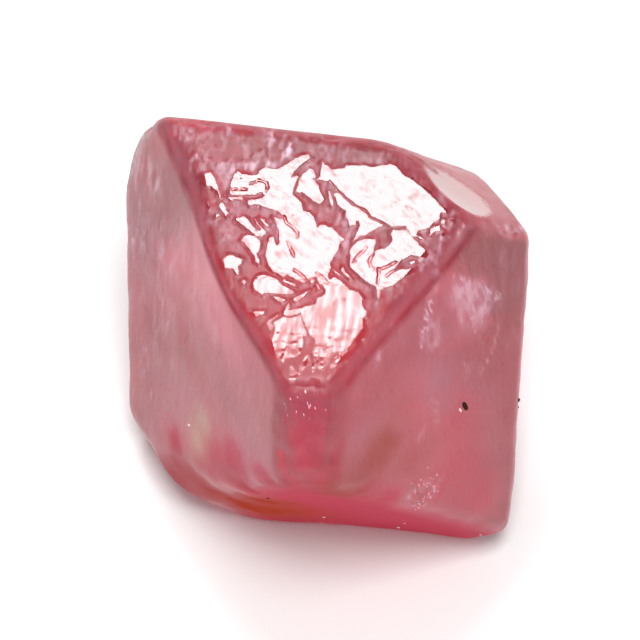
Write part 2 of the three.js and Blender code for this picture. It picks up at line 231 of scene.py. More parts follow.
# Patches that are etched only a little.
HAZES = {
    "haze_band": [
        (-2.15, 1.03), (-1.97, 1.0), (-1.49, 1.04), (-1.31, 1.06), (-1.14, 1.3), (-1.04, 1.41),
        (-0.94, 1.17), (-0.79, 1.0), (-1.51, 0.9), (-1.68, 0.83), (-1.8, 0.84), (-1.9, 0.92),
    ],
    "haze_tab": [
        (-0.74, 1.21), (-0.73, 1.37), (-0.56, 1.52), (-0.54, 1.42), (-0.56, 1.28), (-0.62, 1.15),
    ],
    "haze_dot": [(-2.35, 1.1), (-2.31, 1.17), (-2.24, 1.17), (-2.27, 1.06)],
    "haze_lilac": [(1.66, -0.1), (1.84, -0.06), (1.98, -0.21), (1.82, -0.19)],
}

# Fine grooves and cracks in the plates.
GROOVES = {
    "hook": [
        (-1.22, 0.59), (-1.12, 0.63), (-1.05, 0.68), (-0.96, 0.68), (-0.88, 0.64), (-0.85, 0.56),
        (-0.86, 0.47),
    ],
    "dash_a": [(-1.53, 0.43), (-1.42, 0.45)],
    "dash_b": [(-1.36, 0.45), (-1.25, 0.47)],
    "crack_a": [(-0.46, -0.02), (-0.38, -0.16), (-0.27, -0.22), (-0.15, -0.33), (-0.15, -0.43)],
    "crack_b": [(-0.3, -0.53), (-0.25, -0.65), (-0.18, -0.77), (-0.14, -0.83)],
    "crack_c": [(-0.1, -1.11), (0.06, -1.21), (0.24, -1.38)],
    "crack_d": [(0.31, -1.12), (0.44, -1.21), (0.57, -1.32)],
    "step": [
        (0.29, 0.81), (0.46, 0.63), (0.61, 0.51), (0.8, 0.37), (1.05, 0.26), (1.16, 0.14),
        (1.34, 0.07), (1.5, -0.01),
    ],
    "pair_a": [(1.32, -0.62), (1.26, -0.76), (1.3, -0.9), (1.37, -0.93)],
    "pair_b": [(1.16, -0.49), (1.07, -0.65), (0.96, -0.83)],
    "ridge": [(1.36, -2.4), (1.2, -2.58), (1.05, -2.72), (0.88, -2.93)],
    "pair_c": [(1.59, -1.08), (1.69, -0.96), (1.81, -0.87)],
    "pair_d": [(1.44, -0.9), (1.48, -1.05), (1.48, -1.21)],
    "pair_e": [(1.75, -0.74), (1.58, -0.87), (1.44, -0.94)],
}

# Tiny round pits in the plates.
PLATE_PITS = [
    (1.79, 0.46), (1.91, 0.43), (1.27, 0.68), (1.62, 0.58), (1.32, 1.03), (1.11, 0.99),
    (-0.3, 0.04), (-0.68, 0.55), (-1.38, 0.71), (-0.02, -0.31), (0.02, -0.41), (0.05, -0.6),
    (0.25, -0.83), (0.35, -0.37), (0.79, -1.67), (0.74, -1.74), (0.91, -1.63), (1.33, -1.04),
    (0.07, -2.46), (0.16, -2.45), (0.08, -2.65), (0.15, -2.62), (-0.86, 0.55), (1.23, -0.63),
]

# Depths and lengths in the top face.
CHANNEL_DEPTH = 0.024  # of the etched channels below the plates
CHANNEL_LUMPS = [(0.006, 0.26, 0.0), (0.003, 0.12, 3.1)]
PLATE_WANDER = [(0.016, 0.08, 0.0, 9.5), (0.012, 0.035, 4.5, 6.5)]  # with a shift for x and for y
PLATE_BEVEL, PLATE_SLOPE = 0.03, 0.09  # over these a plate's gloss and its height end
PLATE_INSET = 0.3  # share of the bevel that lies inside the outline
PLATE_WAVES = [(0.0022, 0.17, 1.3), (0.0011, 0.07, 2.2)]
HAZE_SHARE = 0.35  # the hazy patches lie this share of the depth below the plates
HAZE_BLUR = (-0.06, 0.1)  # from inside their outlines to outside
SOUTH_BEND, SOUTH_BEND_START = 0.02, -1.5  # southern plates bend down, with the square of the way
GROOVE_WIDTH, GROOVE_DEPTH = 0.028, 0.007
PIT_RADIUS, PIT_DEPTH = 0.022, 0.005

# The right face's waves are drawn out towards the front: rows scale x, y and z.
RIGHT_WAVES = [(0.012, 1.0, 12), (0.0072, 0.45, 5)]
RIGHT_GRAIN = np.array([[1.6, -0.5, 0.0], [-0.5, 1.6, 0.0], [0.6, 0.6, 0.5]])
FRONT_WAVES = [(0.012, 0.4, 2)]
LEFT_WAVES = [(0.006, 0.3, 4)]
LEFT_GRAIN = np.array([[1.0, 0.0, 0.0], [0.0, 0.3, 0.0], [0.0, 0.0, 0.3]])
NOSE_LUMPS = [(0.035, 0.34, 8), (0.021, 0.16, 1)]  # on the worn front corner, a lumpy facet

# The edge between the top and the left face bows outwards, and plates reach right up to it and to
# the nose: places where the edges are worn less, as a centre, a radius and a share.
LEFT_BOW, LEFT_BOW_CENTRE, LEFT_BOW_RADIUS = 0.25, (-1.25, -1.3, 4.0), 1.3
CRISP_EDGES = [((-1.25, -1.3, 4.0), 1.3, 0.5), ((0.25, -3.1, 4.0), 0.7, 0.6)]

# The low left corner of the front face stands out more than its worn facet: for each face or facet
# that it lifts, a centre, a radius and the height.
LOW_BULGES = {"low_front_left": ((-2.45, -2.65, -2.5), 1.3, 0.27),
              "front": ((-1.0, -2.9, -3.1), 1.3, 0.1)}

# How frosted each face is: the share of light that its worn skin scatters.
FROST = dict.fromkeys([*FACES, *WORN_CORNERS], 0.06)
FROST.update(left=0.13, top=0.14, right=0.04, front=0.02, nose=0.02)
FACE_BLEND = 0.11  # the lean over which faces' looks pass into each other
FROST_FRONT, FROST_BACK = -3.2, 1.5  # y between which the frosting grows to all of it
FROST_LEAST = 0.3  # its share at the front
# The chip's scattered share, with its pale grey tint, is a painted reflection of its glassy
# fracture.
HAZE_FROST, EDGE_FROST, CHIP_SHEEN_SCATTER = 0.2, 0.32, 0.5
HIGH_EDGES, LOW_EDGES = (1, 3), (0, 1)  # heights above, and depths below, the crystal's centre
RIM_CLEARS, DARK_SPOT_CLEARS = 0.45, 0.8  # the share of the frosting that they take away

# Height over which the left face's rim and the band along the top face's worn edges begin. Both are
# painted shade: darker pink where the rounded edges reflect the dim surroundings.
RIM_HEIGHTS, BAND_HEIGHTS = (2.8, 3.6), (2.6, 3.4)
BAND_EDGE = (0, 0.25)  # how near to an edge the band begins and is full
BAND_MOTTLE = (0.35, 0.8)  # its least share, and what the mottle adds
MOTTLE = [(0.4, 0.7, 6), (0.2, 0.3, 2)]
# The nose's deep red is painted shade, for the dim front that its worn facet reflects; these waves
# make its outline wander.
NOSE_WANDER = [(0.08, 0.4, 19), (0.05, 0.17, 20)]  # the outline of the nose's colour

# Growth lines on the plates, drawn out from left to right and towards the front. South of a line
# they turn and are stronger.
FLOW_GRAIN = np.array([[0.7, 0.5, 0.0], [1.0, -0.35, 0.0], [0.0, 0.0, 1.0]])
FLOW_WAVES = [(0.5, 0.16, 3), (0.25, 0.07, 8)]
SOUTH_FLOW, SOUTH_FLOW_START, SOUTH_FLOW_LIFT = (1.5, 0.3, 1.0), (1.1, 1.4), 0.25

# Pale feathery strokes painted on the skin, both ends and the width: the flashes of light from
# healed fractures just under it, painted glints on the nose, and a painted highlight along the
# base's front edges.
GLINT_FEATHERS = [
    ((2.48, -1.03, 3.63), (2.31, -1.83, 2.91), 0.3),
    ((2.8, -0.62, 3.39), (3.54, -0.23, 2.03), 0.28),
    ((2.89, -0.68, 3.06), (3.03, -0.71, 2.67), 0.15),
    ((3.06, -0.66, 2.66), (3.18, -0.93, 1.97), 0.2),
    ((3.22, -0.48, 2.51), (3.46, -0.32, 2.1), 0.12),
    ((3.01, -1.39, 1.75), (3.07, -1.53, 1.39), 0.08),
    ((3.14, -1.39, 1.39), (3.06, -1.62, 1.28), 0.06),
    ((3.33, -1.19, 1.19), (3.25, -1.41, 1.1), 0.06),
    ((2.54, -2.32, 1.61), (2.62, -2.5, 1.15), 0.08),
    ((2.61, -2.28, 1.5), (2.49, -2.36, 1.68), 0.07), ((2.4, -2.76, 1.34), (2.34, -2.95, 1.2), 0.1),
    ((3.56, -0.51, 1.58), (3.47, -0.92, 1.21), 0.05),
    ((3.47, -0.92, 1.21), (3.29, -1.35, 1.05), 0.05),
    ((2.19, -3.82, 0.35), (2.36, -3.53, 0.32), 0.19),
    ((2.39, -3.53, 0.24), (2.61, -3.23, 0.11), 0.15),
    ((2.48, -3.58, -0.07), (2.65, -3.3, -0.09), 0.17),
    ((2.56, -3.42, -0.03), (2.71, -3.15, -0.03), 0.1),
    ((1.68, -2.44, 3.68), (1.64, -2.63, 3.51), 0.09), ((-2.8, -0.7, 0.9), (-2.88, -0.9, 0.3), 0.12),
    ((-2.45, -1.05, 1.75), (-2.6, -1.2, 1.05), 0.2), ((2.53, 1.55, 3.22), (3.19, 0.9, 3.35), 0.06),
    ((2.85, 1.3, 3.1), (3.3, 0.9, 3.2), 0.05), ((3.3, 0.72, 3.4), (3.7, 0.5, 3.0), 0.1),
    ((2.75, -0.7, 3.2), (3.3, -0.4, 2.6), 0.3),
    ((-2.11, -2.54, -3.03), (-1.32, -2.63, -3.55), 0.05),
    ((-0.69, -2.69, -3.46), (0.53, -2.74, -3.32), 0.05),
    ((0.36, -3.32, 3.53), (0.68, -3.31, 3.55), 0.06),
    ((-0.16, -3.38, 3.45), (-0.08, -3.36, 3.5), 0.07),
    ((0.2, -3.55, 3.21), (0.27, -3.53, 3.24), 0.07),
    ((0.55, -3.49, 3.29), (0.62, -3.48, 3.32), 0.06),
    ((0.81, -3.52, 3.25), (0.88, -3.5, 3.28), 0.06),
    ((0.22, -3.74, 2.93), (0.3, -3.72, 2.96), 0.06),
    ((0.52, -4.15, 2.36), (0.6, -4.12, 2.42), 0.08),
    ((0.15, -3.44, 3.38), (0.28, -3.43, 3.4), 0.06),
]
GLINT_FEATHER_FINEST, GLINT_FEATHER_BLUR = 0.06, 0.12  # the mesh is finer this close to them; their soft edge
GLINT_FEATHER_TAPER = (0.35, 0.65)  # least share of the width, and what the middle adds

# Soft spots of colour, as spots with a centre and a radius. Most are painted shade and light: a deep
# pink flush painted low on the left and right faces as shade towards the floor, a painted glow in
# the lower right for light reflected inside the stone, deep red painted low at the front as the dark
# red shadow at the crystal's foot, orange painted in the front face for light reflected inside it,
# rose painted shade in the right face, and a dark slit below the chip painted as the shade of a
# notch.
# Lilac and brown in the right face and olive in the left only tint the colour. Their outlines
# wander by a share of the radius.
SPOT_WANDER = [(0.26, 0.7, 14), (0.104, 0.28, 17)]
SHADE_AND_COLOUR_SPOTS = {
    "flush": [
        # Painted shade: deeper pink low on the faces, towards the floor.
        ((-2.66, -2.36, -1.3), 0.6), ((-1.86, -3.05, -0.2), 1.15), ((-1.09, -3.71, 0.6), 0.95),
        ((-0.35, -4.28, 1.6), 0.6), ((0.77, -4.53, 2.0), 0.7), ((1.35, -4.28, 1.3), 0.6),
        ((1.82, -3.99, 0.7), 0.55),
    ],
    # Painted light: the bright red of light reflected inside the stone.
    "glow": [
        ((2.4, -2.31, 2.0), 0.7), ((2.91, -2.23, 0.8), 0.9), ((3.1, -2.58, -0.24), 0.9),
        ((2.7, -3.26, -0.1), 0.7), ((3.37, -2.86, -1.28), 0.8),
    ],
    # Painted shade: the dark red shadow at the crystal's foot, low at the front.
    "deep": [
        ((-2.5, -2.5, -2.4), 0.8), ((-1.8, -3.0, -1.7), 0.85), ((-0.8, -3.8, 0.0), 0.6),
        ((0.0, -4.1, 0.5), 0.6), ((0.9, -4.2, 0.6), 0.6), ((0.3, -4.35, 1.9), 0.45),
    ],
    # Painted light on the front face: the orange-red of light reflected inside the stone.
    "orange": [((-0.5, -3.2, -1.9), 0.95), ((-1.15, -3.1, -2.2), 0.75), ((-0.6, -3.5, -0.9), 0.6)],
    "lilac": [
        ((3.07, -0.77, 2.6), 0.45), ((3.3, -0.6, 2.2), 0.35), ((2.85, -0.75, 3.0), 0.3),
        ((2.43, -1.5, 3.0), 0.2), ((2.45, -1.6, 2.7), 0.2),
    ],
    "brown": [((1.6, -3.75, 1.9), 0.7), ((1.85, -3.35, 1.9), 0.5), ((1.1, -4.1, 1.8), 0.6)],
    # Painted shade, darker on the right face.
    "rose": [((2.4, -1.6, 3.2), 0.9), ((2.6, -2.0, 1.8), 0.6)],
    "olive": [((-2.05, -2.7, -0.3), 0.42), ((-1.9, -2.6, 0.3), 0.35)],
    # Painted shade of a notch below the chip.
    "slit": [
        ((1.87, 1.61, 3.74), 0.07), ((1.95, 1.56, 3.73), 0.08), ((2.05, 1.5, 3.68), 0.09),
        ((2.15, 1.47, 3.6), 0.07),
    ],
}

# Grains on the skin: place, radius and how many times longer than wide.
DARK_GRAINS = [
    ((3.06, -1.95, 0.79), 0.055, 2.5), ((-0.53, -3.73, -0.42), 0.03, 1.6),
    ((3.92, -1.08, -0.49), 0.04, 1.2), ((3.9, -1.12, -0.7), 0.025, 1.0),
]
# Pale grains are painted glints: small highlights on the skin, along the base's front edge and on
# the nose.
PALE_GLINT_GRAINS = [
    ((2.985, -2.06, 0.82), 0.025, 2.6), ((-2.27, -2.4, -0.36), 0.032, 1.0),
    ((0.32, -3.09, -2.33), 0.035, 1.0), ((1.7, -2.84, -3.02), 0.035, 1.5),
    ((1.91, -3.1, -2.26), 0.025, 1.2), ((3.35, -2.96, -2.71), 0.03, 1.0),
    ((0.46, -3.5, 3.85), 0.02, 2.0),
]
# Clusters of tiny pink grains that are painted sparks of light: centre, spread and count.
GLITTER = [((2.45, -3.45, 0.1), (0.18, 0.28, 0.26), 56),
           ((0.5, -3.62, 3.62), (0.28, 0.1, 0.16), 14)]
GLITTER_RADII, GLITTER_STRETCH = (0.007, 0.017), (1.0, 3.0)
GLITTER_SEED = 5
GRAIN_SIDES, GRAIN_RINGS, GRAIN_FLATNESS = 10, 6, 0.5
GRAIN_DOWN = np.array([0.15, 0, -1])  # their long way points down the face

# Shallow triangular etch pits on the faces that look away: a point in the pit, the distance from it
# to each side, and the depth.
ETCH_PITS = {
    "back": [((-1.2, 2.6, 1.9), 0.34, 0.01), ((0.9, 3.1, 0.5), 0.22, 0.009),
             ((-0.3, 3.3, 0.1), 0.15, 0.008)],
    "back_right": [((3.2, 0.6, -0.2), 0.28, 0.01), ((2.7, 0.9, -1.4), 0.17, 0.008)],
    "back_left": [((-3.4, 1.5, -0.6), 0.3, 0.01), ((-3.1, 1.1, -1.9), 0.18, 0.008),
                  ((-3.6, 1.7, 0.4), 0.16, 0.008)],
}

LATTICE_STEP = 0.075  # distance between mesh nodes along a cubic axis, before refinement
HALVINGS = 3  # of the top face's mesh, the last one at its plates' edges alone
LATTICE_UNITS = 2 ** HALVINGS  # whole numbers per step, so that the halvings stay whole
KEY_SPAN = 1 << 15  # more than any sum of two node numbers
FINEST_WITHIN = 0.05  # of the edge of a plate
SEARCH_FROM, SEARCH_TO, SEARCH_STEPS = 1.5, 8.0, 24


# ---------------- noise

NOISE_SEED = 11
NOISE_NODES = 256
NOISE_HEIGHT = 1.5
noise_order = np.random.default_rng(NOISE_SEED).permutation(NOISE_NODES)
noise_slopes = np.random.default_rng(NOISE_SEED + 1).normal(size=(NOISE_NODES, 3))
noise_slopes /= np.linalg.norm(noise_slopes, axis=1)[:, None]


def grain(points, patch, shift=0.0):
    """Smooth noise of about -1 to 1 at each point, in patches of a given size."""
    place = points / patch + shift
    cell = np.floor(place).astype(int)
    inside = place - cell
    ease = inside ** 3 * (inside * (inside * 6 - 15) + 10)
    total = np.zeros(len(points))
    for corner in np.ndindex(2, 2, 2):
        pick = np.zeros(len(points), int)
        for node in (cell + corner).T:
            pick = noise_order[(pick + node) % NOISE_NODES]
        weight = np.prod(np.where(corner, ease, 1 - ease), axis=1)
        total += weight * np.einsum("ij,ij->i", noise_slopes[pick], inside - corner)
    return NOISE_HEIGHT * total


def waves(points, rows):
    """Noise summed over rows of height, patch and shift."""
    return sum(height * grain(points, patch, shift) for height, patch, shift in rows)


def smoothstep(value, low, high):
    t = np.clip((value - low) / (high - low), 0, 1)
    return t * t * (3 - 2 * t)


# ---------------- outlines in the top face

def distance_to_line(x, y, points, closed):
    """Distance from each place to a run of straight pieces."""
    nearest = np.full(x.shape, np.inf)
    ends = points[1:] + points[:1] if closed else points[1:]
    for (x1, y1), (x2, y2) in zip(points, ends):
        dx, dy = x2 - x1, y2 - y1
        foot = np.clip(((x - x1) * dx + (y - y1) * dy) / (dx * dx + dy * dy), 0, 1)
        nearest = np.minimum(nearest, np.hypot(x - x1 - foot * dx, y - y1 - foot * dy))
    return nearest


def inside_outline(x, y, points):
    inside = np.zeros(x.shape, bool)
    for (x1, y1), (x2, y2) in zip(points, points[1:] + points[:1]):
        if y1 != y2:
            inside ^= ((y1 > y) != (y2 > y)) & (x < x1 + (y - y1) / (y2 - y1) * (x2 - x1))
    return inside


def gap_to_outlines(x, y, outlines, reach=0.2):
    """Distance to the nearest outline, negative inside it; exact only up to the given reach."""
    gap = np.full(x.shape, reach)
    for points in outlines.values():
        low, high = np.min(points, axis=0) - reach, np.max(points, axis=0) + reach
        near = (x > low[0]) & (x < high[0]) & (y > low[1]) & (y < high[1])
        away = distance_to_line(x[near], y[near], points, True)
        away = np.where(inside_outline(x[near], y[near], points), -away, away)
        gap[near] = np.minimum(gap[near], away)
    return gap


def top_detail(points):
    """Depth below the growth plane, and how much of a plate there is, at points of the top face."""
    x, y = points[:, 0], points[:, 1]
    for reach, patch, shift_x, shift_y in PLATE_WANDER:
        x = x + reach * grain(points, patch, shift_x)
        y = y + reach * grain(points, patch, shift_y)
    gap = gap_to_outlines(x, y, PLATES)
    inset = -PLATE_INSET * PLATE_BEVEL
    plate = 1 - smoothstep(gap, inset, (1 - PLATE_INSET) * PLATE_BEVEL)
    level = 1 - smoothstep(gap, inset, PLATE_SLOPE)
    haze = 1 - smoothstep(gap_to_outlines(x, y, HAZES), *HAZE_BLUR)
    channel = (CHANNEL_DEPTH + waves(points, CHANNEL_LUMPS)) * (1 - (1 - HAZE_SHARE) * haze)
    south = np.maximum(0, SOUTH_BEND_START - points[:, 1])
    flat = waves(points, PLATE_WAVES) + SOUTH_BEND * south ** 2
    for line in GROOVES.values():
        away = distance_to_line(x, y, line, False)
        flat = flat + GROOVE_DEPTH * (1 - np.clip(away / GROOVE_WIDTH, 0, 1))
    for px, py in PLATE_PITS:
        away = np.hypot(points[:, 0] - px, points[:, 1] - py)
        flat = flat + PIT_DEPTH * np.exp(-(away / PIT_RADIUS) ** 2)
    return level * flat + (1 - level) * np.maximum(channel, flat), plate, haze


# ---------------- the crystal's skin

def unit(vector):
    vector = np.asarray(vector, float)
    return vector / np.linalg.norm(vector, axis=-1, keepdims=True)


planes = {**FACES, **WORN_CORNERS}
plane_names = list(planes)
plane_normals = np.array([unit(unit(plane[-2]) @ CUBIC_AXES) for plane in planes.values()])
plane_distances = np.array([plane[-1] for plane in planes.values()])


def outsideness(points, wear, reliefs, nick):
    """How far outside the crystal, negative inside it; how near an edge; how far into the chip."""
    over = np.maximum(points @ plane_normals.T - plane_distances + wear[:, None] + reliefs, 0)
    reach = np.sqrt((over ** 2).sum(axis=1))
    edginess = np.where(reach > 0, 1 - over.max(axis=1) / np.maximum(reach, 1e-9), 0)
    body = reach - wear + edginess * np.minimum(NICK_DEPTH * nick, NICK_LIMIT * wear)
    chip = CHIP_RADIUS - np.linalg.norm(points - CHIP_CENTRE, axis=1)
    blend = np.maximum(0, CHIP_LIP_WEAR - np.abs(body - chip))
    return np.maximum(body, chip) + blend ** 2 / (4 * CHIP_LIP_WEAR), edginess, chip - body


def search(directions, *detail):
    """The point of the skin in each direction from the centre."""
    inner = np.full(len(directions), SEARCH_FROM)
    outer = np.full(len(directions), SEARCH_TO)
    for _ in range(SEARCH_STEPS):
        middle = (inner + outer) / 2
        within = outsideness(directions * middle[:, None], *detail)[0] < 0
        inner, outer = np.where(within, middle, inner), np.where(within, outer, middle)
    return directions * inner[:, None]


def etch_pit_depth(points, normal, pits):
    sides = unit([axis - normal * (axis @ normal) for axis in CUBIC_AXES])
    sides *= np.sign(CUBIC_AXES @ normal)[:, None]
    depth = np.zeros(len(points))
    for centre, reach, deepest in pits:
        depth += np.clip(reach - ((points - centre) @ sides.T).max(axis=1), 0, deepest)
    return depth


def spot(points, centre, radius):
    """One at the centre, falling softly to nothing with distance."""
    return np.exp(-((points - centre) ** 2).sum(axis=1) / radius ** 2)


def nearness_to_glint_feathers(points, blur):
    """One on the feathers' strokes and nothing beyond their edges, softened over a distance."""
    most = np.zeros(len(points))
    least, middle = GLINT_FEATHER_TAPER
    for start, end, width in GLINT_FEATHERS:
        start, end = np.array(start), np.array(end)
        along = end - start
        foot = np.clip((points - start) @ along / (along @ along), 0, 1)
        away = np.linalg.norm(points - start - foot[:, None] * along, axis=1)
        taper = width / 2 * (least + middle * np.sin(math.pi * np.clip(foot, 0.1, 0.9)))
        most = np.maximum(most, 1 - smoothstep(away - taper, -blur, blur))
    return most


def face_reliefs(rough, top_depth, near_top):
    """Depth below each face's plane, one column for each of the planes."""
    reliefs = np.repeat(waves(rough, FACE_WAVES)[:, None], len(plane_names), axis=1)
    column = {name: reliefs[:, row] for row, name in enumerate(plane_names)}
    column["right"] += waves(rough @ RIGHT_GRAIN, RIGHT_WAVES)
    column["front"] += waves(rough, FRONT_WAVES)
    column["left"] += waves(rough @ LEFT_GRAIN, LEFT_WAVES)
    column["left"] -= LEFT_BOW * spot(rough, LEFT_BOW_CENTRE, LEFT_BOW_RADIUS)
    for name, (centre, radius, height) in LOW_BULGES.items():
        column[name] -= height * spot(rough, centre, radius)
    column["nose"] += waves(rough, NOSE_LUMPS)
    column["base"][:] = 0
    column["top"][:] = 0
    column["top"][near_top] = top_depth
    for name, pits in ETCH_PITS.items():
        column[name] += etch_pit_depth(rough, plane_normals[plane_names.index(name)], pits)
    return reliefs


def crystal_skin(directions):
    """Points of the finished skin, with the masks that its material uses."""
    count = len(directions)
    rough = search(directions, np.full(count, EDGE_WEAR), np.zeros((count, len(plane_names))),
                   np.zeros(count))
    wear = EDGE_WEAR + waves(rough, EDGE_WEAR_WAVES)
    for centre, radius, share in CRISP_EDGES:
        wear *= 1 - share * spot(rough, centre, radius)
    top = plane_names.index("top")
    near_top = rough @ plane_normals[top] > plane_distances[top] - EDGE_WEAR
    plate, haze = np.zeros(count), np.zeros(count)
    top_depth, plate[near_top], haze[near_top] = top_detail(rough[near_top])
    nick = sum(share * np.maximum(0, grain(rough, patch, shift)) for share, patch, shift in NICKS)
    detail = (wear, face_reliefs(rough, top_depth, near_top), nick)
    skin = search(directions, *detail)
    _, edge, chip = outsideness(skin, *detail)

    lean = skin @ plane_normals.T - plane_distances
    lean[:, plane_names.index("nose")] += waves(skin, NOSE_WANDER)
    shares = np.exp(lean / FACE_BLEND)
    shares /= shares.sum(axis=1, keepdims=True)
    share = dict(zip(plane_names, shares.T))
    height = skin[:, 2]
    drift = np.stack([
        waves(skin, [(reach, patch, shift + axis) for reach, patch, shift in SPOT_WANDER])
        for axis in range(3)
    ], axis=1)
    masks = {colour: 1 - np.prod([1 - spot(skin + radius * drift, centre, radius)
                                  for centre, radius in spots], axis=0)
             for colour, spots in SHADE_AND_COLOUR_SPOTS.items()}
    masks["glint_feather"] = nearness_to_glint_feathers(skin, GLINT_FEATHER_BLUR)
    masks["mottle"] = 0.5 + waves(skin, MOTTLE)
    southern = smoothstep(-skin[:, 1], *SOUTH_FLOW_START)[:, None]
    drawn = skin @ FLOW_GRAIN * (1 - southern) + skin * SOUTH_FLOW * southern
    masks["flow"] = 0.5 + waves(drawn, FLOW_WAVES) + SOUTH_FLOW_LIFT * southern[:, 0]
    masks["chip"] = smoothstep(chip, -CHIP_BLUR, CHIP_BLUR)
    whole = 1 - masks["chip"]
    masks["top"], masks["plate"] = near_top * whole, plate * whole
    # The nose and the front face carry painted shade: deep red for the dim front sky and the dark
    # red shadow at the foot that they reflect.
    masks["nose"], masks["low"] = share["nose"], share["front"]
    # The rim and the band are painted shade along the worn top edges.
    masks["rim"] = share["left"] * smoothstep(height, *RIM_HEIGHTS)
    masks["band"] = smoothstep(edge, *BAND_EDGE) * smoothstep(height, *BAND_HEIGHTS) * whole
    masks["band"] *= np.clip(BAND_MOTTLE[0] + BAND_MOTTLE[1] * masks["mottle"], 0, 1)

    fade = FROST_LEAST + (1 - FROST_LEAST) * smoothstep(skin[:, 1], FROST_FRONT, FROST_BACK)
    frost = (shares @ [FROST[name] for name in plane_names]) * fade
    frost += HAZE_FROST * haze + EDGE_FROST * edge * smoothstep(height, *HIGH_EDGES)
    frost *= 1 - RIM_CLEARS * masks["rim"]
    frost *= 1 - DARK_SPOT_CLEARS * np.maximum(masks["brown"], masks["deep"])
    frost += (CHIP_SHEEN_SCATTER - frost) * masks["chip"]
    frost *= (1 - masks["plate"]) * (1 - masks["slit"])
    masks["frost"] = frost * (1 - edge * smoothstep(-height, *LOW_EDGES))
    return skin, masks


# ---------------- the crystal's mesh

def odd_layers(distance):
    return 2 * round((math.sqrt(3) * distance / LATTICE_STEP - 1) / 2) + 1


def lattice_face(corner, layers, all_corners, all_layers):
    """The triangles of one face, as corner nodes in lattice steps, anticlockwise from outside."""
    reach = np.arange(-2 * layers, 2 * layers)
    i, j = (values.ravel() for values in np.meshgrid(reach, reach, indexing="ij"))

    def node(i, j):
        return np.stack([i, j, layers - i - j], axis=1) * corner

    triangles = np.concatenate([
        np.stack([node(i, j), node(i + 1, j), node(i, j + 1)], axis=1),
        np.stack([node(i + 1, j), node(i + 1, j + 1), node(i, j + 1)], axis=1),
    ])
    triangles = triangles[(triangles @ all_corners.T <= all_layers).all(axis=(1, 2))]
    return triangles[:, ::-1] if np.prod(corner) < 0 else triangles


def edge_keys(triangles):
    """One whole number for each edge, the same from both of its sides."""
    ends = triangles + np.roll(triangles, -1, axis=1) + KEY_SPAN // 2
    return (ends[..., 0] * KEY_SPAN + ends[..., 1]) * KEY_SPAN + ends[..., 2]


def split_marked(triangles, marked):
    """Splits each triangle at its marked edges: into four, three, two or not at all."""
    cut = np.isin(edge_keys(triangles), marked)
    count = cut.sum(axis=1)
    start = np.where(count == 2, np.argmin(cut, axis=1) + 1, np.argmax(cut, axis=1))
    order = (start[:, None] + np.arange(3)) % 3
    p, q, r = np.take_along_axis(triangles, order[:, :, None], axis=1).transpose(1, 0, 2)
    pq, qr, rp = (p + q) // 2, (q + r) // 2, (r + p) // 2
    patterns = (
        ((p, q, r),),
        ((p, pq, r), (pq, q, r)),
        ((pq, q, qr), (p, pq, qr), (p, qr, r)),
        ((p, pq, rp), (pq, q, qr), (rp, qr, r), (pq, qr, rp)),
    )
    return np.concatenate([np.stack(part, axis=1)[count == cuts]
                           for cuts, parts in enumerate(patterns) for part in parts])


def refine(triangles, chosen):
    return split_marked(triangles, np.unique(edge_keys(triangles[chosen])))


def lattice_triangles():
    corners = np.array([face[0] for face in FACES.values()])
    layers = np.array([odd_layers(face[2]) for face in FACES.values()])
    faces = [lattice_face(corner, count, corners, layers) for corner, count in zip(corners, layers)]
    triangles = np.concatenate(faces) * LATTICE_UNITS
    top = list(FACES).index("top")
    for halving in range(1, HALVINGS + 1):
        middles = triangles.mean(axis=1) / LATTICE_UNITS
        chosen = np.argmax(middles @ corners.T / layers, axis=1) == top
        if halving == HALVINGS:
            x, y = (middles[chosen] * LATTICE_STEP @ CUBIC_AXES)[:, :2].T
            chosen[chosen] = np.abs(gap_to_outlines(x, y, PLATES)) < FINEST_WITHIN
        else:
            chosen |= nearness_to_glint_feathers(middles * LATTICE_STEP @ CUBIC_AXES, GLINT_FEATHER_FINEST) > 0
        triangles = refine(triangles, chosen)
    return triangles


def mesh_object(name, points, faces, masks=None, centre=CENTRE):
    """A mesh piece from points in levelled millimetres."""
    mesh = bpy.data.meshes.new(name)
    mesh.from_pydata(((points + centre) / 1000).tolist(), [], faces.tolist())
    for mask, values in (masks or {}).items():
        layer = mesh.attributes.new(mask, "FLOAT", "POINT")
        layer.data.foreach_set("value", values.astype(np.float32))
    mesh.polygons.foreach_set("use_smooth", np.ones(len(faces), bool))
    mesh.update()
    piece = bpy.data.objects.new(name, mesh)
    bpy.context.scene.collection.objects.link(piece)
    return piece


triangles = lattice_triangles()
nodes, index = np.unique(triangles.reshape(-1, 3), axis=0, return_inverse=True)
skin, masks = crystal_skin(unit(nodes @ CUBIC_AXES))
crystal = mesh_object("spinel_skin", skin, index.reshape(-1, 3), masks)


# ---------------- materials

class Nodes:
    """Short calls for building a material's nodes."""

    def __init__(self, name):
        self.material = bpy.data.materials.new(name)
        self.material.use_nodes = True
        self.tree = self.material.node_tree
        self.tree.nodes.clear()

    def add(self, kind, inputs=None, **settings):
        node = self.tree.nodes.new(kind)
        for key, value in settings.items():
            setattr(node, key, value)
        for key, value in (inputs or {}).items():
            if isinstance(value, bpy.types.NodeSocket):
                self.tree.links.new(value, node.inputs[key])
            else:
                node.inputs[key].default_value = value
        return node

    def math(self, operation, a, b=0.0, clamp=False):
        node = self.add("ShaderNodeMath", {0: a, 1: b}, operation=operation, use_clamp=clamp)
        return node.outputs[0]

    def finish(self, surface, volume=None):
        out = self.add("ShaderNodeOutputMaterial", {"Surface": surface.outputs[0]})
        if volume:
            self.tree.links.new(volume.outputs[0], out.inputs["Volume"])


